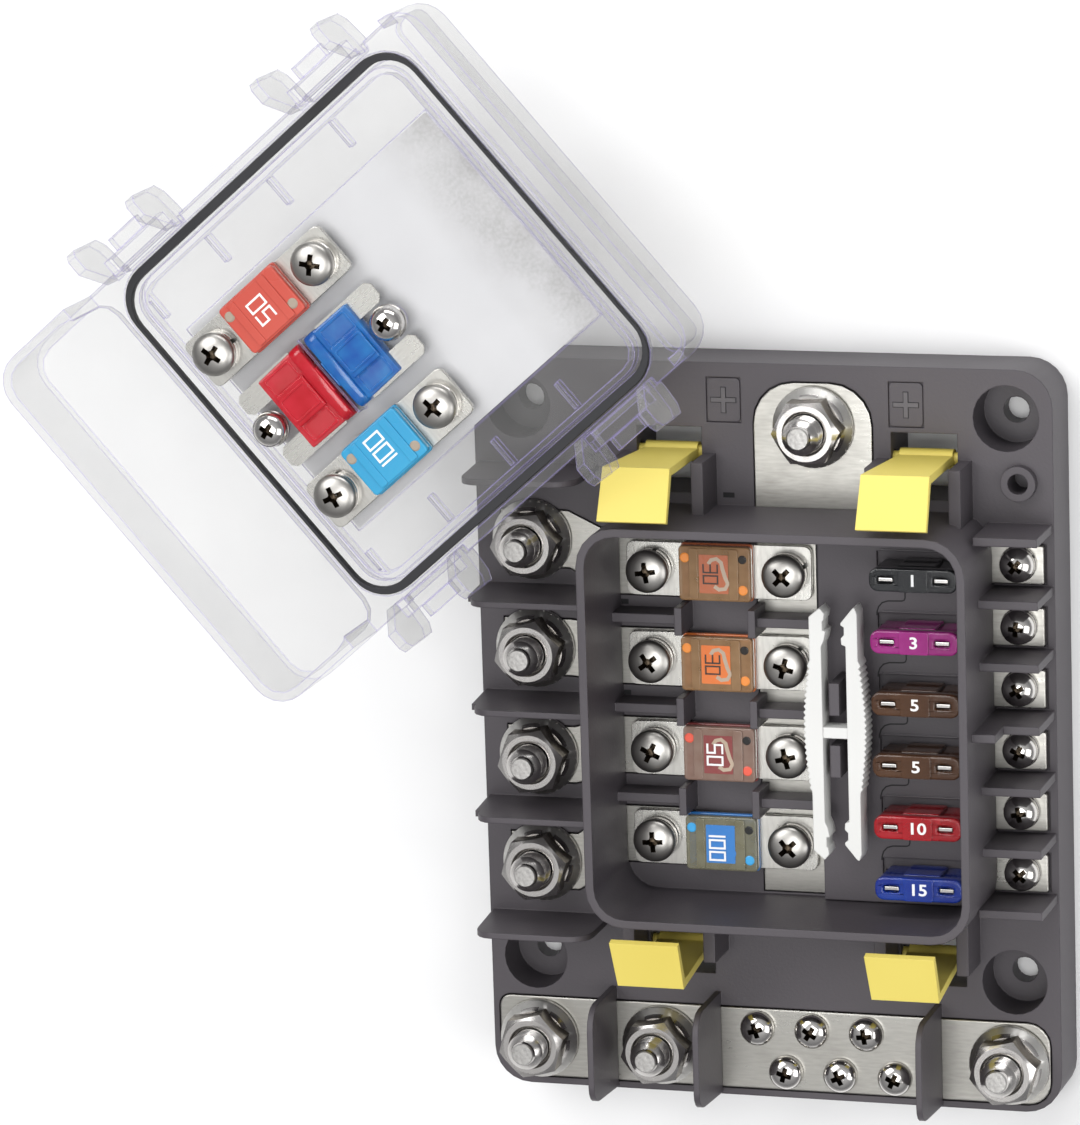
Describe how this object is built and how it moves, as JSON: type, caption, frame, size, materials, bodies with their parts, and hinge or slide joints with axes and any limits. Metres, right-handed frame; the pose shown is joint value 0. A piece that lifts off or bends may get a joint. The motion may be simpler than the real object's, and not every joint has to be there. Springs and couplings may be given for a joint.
{
  "type": "fuse box panel",
  "caption": "Battery fuse block with bolt-down and blade fuses, stud busbars, yellow latches and a clear cover lying beside it.",
  "frame": {"origin": "centre of the base's back face", "axes": "+X to the branch terminals, +Y to the input stud, +Z out of the panel"},
  "size_m": [0.2122, 0.2432, 0.072],
  "materials": {
    "charcoal_plastic": "moulded, low sheen",
    "tinned_copper": "bright tin plate",
    "stainless_steel": "machined",
    "yellow_latch": "satin, lightly flecked",
    "white_puller": "satin",
    "clear_cover": "clear polycarbonate, polished",
    "black_gasket": "soft matt",
    "silver_label": "metallised film",
    "amber_fuse": "tinted translucent",
    "smoke_red_fuse": "tinted translucent",
    "smoke_blue_fuse": "tinted translucent",
    "coral_fuse": "opaque",
    "sky_fuse": "opaque",
    "black_blade_fuse": "dark translucent",
    "violet_blade_fuse": "translucent",
    "brown_blade_fuse": "translucent",
    "red_blade_fuse": "translucent",
    "blue_blade_fuse": "translucent"
  },
  "bodies": {
    "base": {"base_housing": "charcoal_plastic", "fuse_deck": "charcoal_plastic", "positive_busbar": "tinned_copper", "output_busbar_1": "tinned_copper", "output_busbar_2": "tinned_copper", "output_busbar_3": "tinned_copper", "output_busbar_4": "tinned_copper", "negative_busbar": "tinned_copper", "input_stud": "stainless_steel", "input_nut": "stainless_steel", "output_1_stud": "stainless_steel", "output_1_nut": "stainless_steel", "output_2_stud": "stainless_steel", "output_2_nut": "stainless_steel", "output_3_stud": "stainless_steel", "output_3_nut": "stainless_steel", "output_4_stud": "stainless_steel", "output_4_nut": "stainless_steel", "negative_1_stud": "stainless_steel", "negative_1_nut": "stainless_steel", "negative_2_stud": "stainless_steel", "negative_2_nut": "stainless_steel", "negative_3_stud": "stainless_steel", "negative_3_nut": "stainless_steel", "bolt_fuse_1": "amber_fuse", "fuse_screw_left_1": "stainless_steel", "fuse_screw_right_1": "stainless_steel", "bolt_fuse_2": "amber_fuse", "fuse_screw_left_2": "stainless_steel", "fuse_screw_right_2": "stainless_steel", "bolt_fuse_3": "smoke_red_fuse", "fuse_screw_left_3": "stainless_steel", "fuse_screw_right_3": "stainless_steel", "bolt_fuse_4": "smoke_blue_fuse", "fuse_screw_left_4": "stainless_steel", "fuse_screw_right_4": "stainless_steel", "branch_terminal_1": "tinned_copper", "branch_terminal_2": "tinned_copper", "branch_terminal_3": "tinned_copper", "branch_terminal_4": "tinned_copper", "branch_terminal_5": "tinned_copper", "branch_terminal_6": "tinned_copper"},
    "latch_top_left_body": {"latch_top_left": "yellow_latch"},
    "latch_top_right_body": {"latch_top_right": "yellow_latch"},
    "latch_bottom_left_body": {"latch_bottom_left": "yellow_latch"},
    "latch_bottom_right_body": {"latch_bottom_right": "yellow_latch"},
    "blade_fuse_1_body": {"blade_fuse_1": "black_blade_fuse"},
    "blade_fuse_2_body": {"blade_fuse_2": "violet_blade_fuse"},
    "blade_fuse_3_body": {"blade_fuse_3": "brown_blade_fuse"},
    "blade_fuse_4_body": {"blade_fuse_4": "brown_blade_fuse"},
    "blade_fuse_5_body": {"blade_fuse_5": "red_blade_fuse"},
    "blade_fuse_6_body": {"blade_fuse_6": "blue_blade_fuse"},
    "fuse_puller_body": {"fuse_puller": "white_puller"},
    "cover_body": {"cover": "clear_cover", "cover_gasket": "black_gasket", "cover_label": "silver_label", "spare_bolt_fuse_1": "coral_fuse", "spare_bolt_fuse_2": "sky_fuse", "spare_blade_fuse_1": "blue_blade_fuse", "spare_blade_fuse_2": "red_blade_fuse"}
  },
  "joints": [
    {"name": "latch_top_left_hinge", "type": "hinge", "parent": "base", "child": "latch_top_left_body", "pos_m": [-0.02, 0.06095, 0.012], "axis": [-1, 0, 0], "range_deg": [0, 38]},
    {"name": "latch_top_right_hinge", "type": "hinge", "parent": "base", "child": "latch_top_right_body", "pos_m": [0.0358, 0.06095, 0.012], "axis": [-1, 0, 0], "range_deg": [0, 38]},
    {"name": "latch_bottom_left_hinge", "type": "hinge", "parent": "base", "child": "latch_bottom_left_body", "pos_m": [-0.02, -0.04785, 0.012], "axis": [1, 0, 0], "range_deg": [0, 22]},
    {"name": "latch_bottom_right_hinge", "type": "hinge", "parent": "base", "child": "latch_bottom_right_body", "pos_m": [0.0358, -0.04785, 0.012], "axis": [1, 0, 0], "range_deg": [0, 22]},
    {"name": "blade_fuse_1_slide", "type": "slide", "parent": "base", "child": "blade_fuse_1_body", "axis": [0, 0, 1], "range_m": [0, 0.012]},
    {"name": "blade_fuse_2_slide", "type": "slide", "parent": "base", "child": "blade_fuse_2_body", "axis": [0, 0, 1], "range_m": [0, 0.012]},
    {"name": "blade_fuse_3_slide", "type": "slide", "parent": "base", "child": "blade_fuse_3_body", "axis": [0, 0, 1], "range_m": [0, 0.012]},
    {"name": "blade_fuse_4_slide", "type": "slide", "parent": "base", "child": "blade_fuse_4_body", "axis": [0, 0, 1], "range_m": [0, 0.012]},
    {"name": "blade_fuse_5_slide", "type": "slide", "parent": "base", "child": "blade_fuse_5_body", "axis": [0, 0, 1], "range_m": [0, 0.012]},
    {"name": "blade_fuse_6_slide", "type": "slide", "parent": "base", "child": "blade_fuse_6_body", "axis": [0, 0, 1], "range_m": [0, 0.012]},
    {"name": "fuse_puller_slide", "type": "slide", "parent": "base", "child": "fuse_puller_body", "axis": [0, 0, 1], "range_m": [0, 0.02]},
    {"name": "cover_lift", "type": "slide", "parent": "base", "child": "cover_body", "axis": [0, 0, 1], "range_m": [0, 0.08]}
  ]
}
